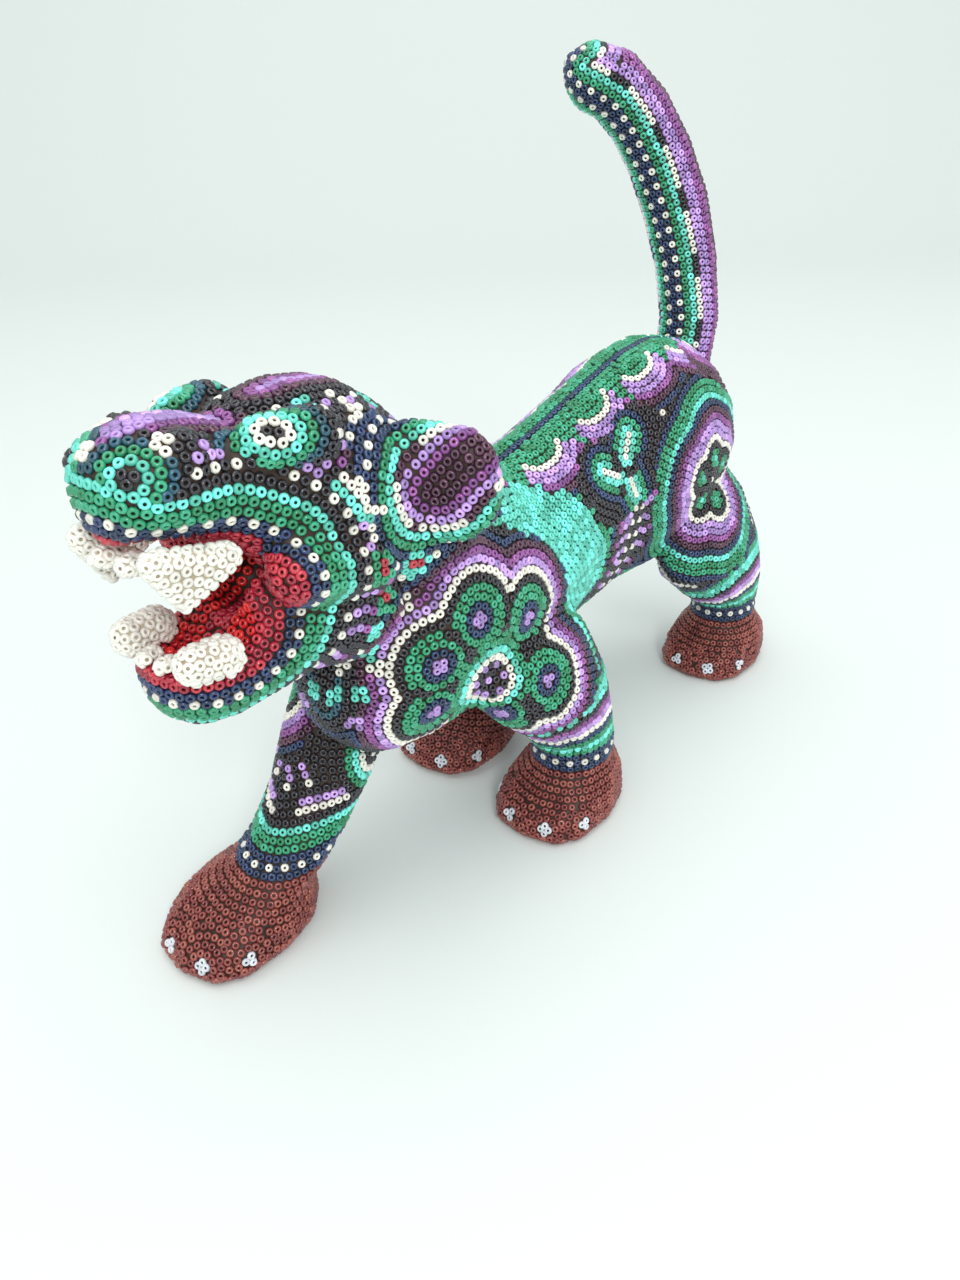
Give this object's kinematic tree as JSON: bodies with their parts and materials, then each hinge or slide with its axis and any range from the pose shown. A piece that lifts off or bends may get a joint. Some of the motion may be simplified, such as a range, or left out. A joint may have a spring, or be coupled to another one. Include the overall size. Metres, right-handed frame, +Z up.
{
  "type": "beaded big cat figure",
  "caption": "Standing roaring big cat figure with a raised curled tail: a carved wooden body under beeswax, covered all over with glass seed beads in floral patterns.",
  "frame": {"origin": "bottom centre of the figure's box, on the surface that its paws stand on", "axes": "+Z up, the figure faces -Y, its left side is towards +X"},
  "size_m": [0.0794, 0.243, 0.1984],
  "materials": {
    "wood": "carved and sanded softwood",
    "dowel_wood": "turned hardwood",
    "beeswax": "dark beeswax and resin, soft sheen",
    "green_beads": "glass seed beads of many colours, mostly green, turquoise, purple and black",
    "dark_beads": "glass seed beads of many colours, mostly black and navy with bright rows",
    "turquoise_beads": "glass seed beads in turquoise, green, navy and cream rows",
    "red_beads": "glass seed beads, crimson and bright red",
    "maroon_beads": "glass seed beads, plain brown red",
    "purple_beads": "glass seed beads in purple, lilac, plum and turquoise rings",
    "cream_beads": "opaque glass seed beads, cream white",
    "claw_beads": "glass seed beads, cool white"
  },
  "bodies": {
    "root": {"torso_core": "wood", "head_core": "wood", "tail_core": "wood", "left_ear_core": "wood", "right_ear_core": "wood", "front_right_leg_core": "wood", "front_left_leg_core": "wood", "rear_right_leg_core": "wood", "rear_left_leg_core": "wood", "neck_dowel": "dowel_wood", "leg_dowels": "dowel_wood", "tail_dowel": "dowel_wood", "ear_dowels": "dowel_wood", "torso_wax": "beeswax", "head_wax": "beeswax", "tail_wax": "beeswax", "left_ear_wax": "beeswax", "right_ear_wax": "beeswax", "front_right_leg_wax": "beeswax", "front_left_leg_wax": "beeswax", "rear_right_leg_wax": "beeswax", "rear_left_leg_wax": "beeswax", "torso_beads": "green_beads", "head_beads": "dark_beads", "lip_beads": "turquoise_beads", "mouth_beads": "red_beads", "eye_beads": "cream_beads", "tail_beads": "green_beads", "left_ear_beads": "purple_beads", "right_ear_beads": "purple_beads", "front_right_leg_beads": "dark_beads", "front_left_leg_beads": "dark_beads", "rear_right_leg_beads": "dark_beads", "rear_left_leg_beads": "dark_beads", "front_right_paw_beads": "maroon_beads", "front_left_paw_beads": "maroon_beads", "rear_right_paw_beads": "maroon_beads", "rear_left_paw_beads": "maroon_beads", "anklet_beads": "turquoise_beads", "claw_beads": "claw_beads", "upper_canines": "cream_beads", "lower_canines": "cream_beads", "upper_incisors": "cream_beads", "lower_incisors": "cream_beads"}
  },
  "joints": []
}
